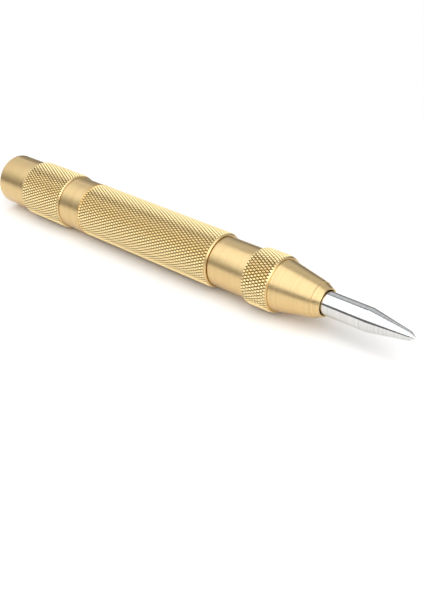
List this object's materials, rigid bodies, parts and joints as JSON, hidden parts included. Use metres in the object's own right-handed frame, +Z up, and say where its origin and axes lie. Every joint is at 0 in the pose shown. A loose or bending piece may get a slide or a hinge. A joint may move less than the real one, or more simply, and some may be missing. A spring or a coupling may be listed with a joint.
{
  "type": "center punch",
  "caption": "Automatic spring-loaded brass center punch with a knurled body, an adjusting cap, a knurled nose and a tapered steel point that slides in to trip the hammer.",
  "frame": {"origin": "on the surface that the punch rests on, under the middle of its length", "axes": "+X along the tool's axis from the tail cap to the point, +Z up"},
  "size_m": [0.1524, 0.0172, 0.0172],
  "materials": {
    "brass_cap": "fine turned satin, with a diamond knurl",
    "brass_body": "fine turned satin, with a diamond knurl",
    "brass_nose": "fine turned satin, with a diamond knurl",
    "point_steel": "polished hardened steel with fine turning marks",
    "inner_steel": "ground hardened steel, lightly oiled",
    "inner_brass": "turned, matt",
    "spring_steel": "drawn spring wire"
  },
  "bodies": {
    "barrel": {"body_tube": "brass_body", "nose_piece": "brass_nose", "trip_bush": "inner_brass", "return_spring": "spring_steel"},
    "point": {"punch_point": "point_steel", "drive_pin": "inner_steel"},
    "hammer": {"hammer": "inner_steel"},
    "spring_seat": {"spring_seat": "inner_steel", "main_spring": "spring_steel"},
    "cap": {"tail_cap": "brass_cap"}
  },
  "joints": [
    {"name": "point_slide", "type": "slide", "parent": "barrel", "child": "point", "axis": [-1, 0, 0], "range_m": [0, 0.01], "stiffness_N_per_m": 250, "springref_m": -0.004, "deforming": ["return_spring"]},
    {"name": "hammer_slide", "type": "slide", "parent": "barrel", "child": "hammer", "axis": [-1, 0, 0], "range_m": [0, 0.01], "stiffness_N_per_m": 6000, "springref_m": -0.006, "deforming": ["main_spring"]},
    {"name": "cap_advance", "type": "slide", "parent": "barrel", "child": "spring_seat", "axis": [-1, 0, 0], "range_m": [0, 0.005], "deforming": ["main_spring"]},
    {"name": "cap_turn", "type": "hinge", "parent": "spring_seat", "child": "cap", "pos_m": [-0.06, 0, 0.00858], "axis": [-1, 0, 0], "range_deg": [0, 1440]}
  ],
  "couplings": [
    {"joint": "cap_turn", "follows": "cap_advance", "rad_per_m": 5026.5}
  ]
}
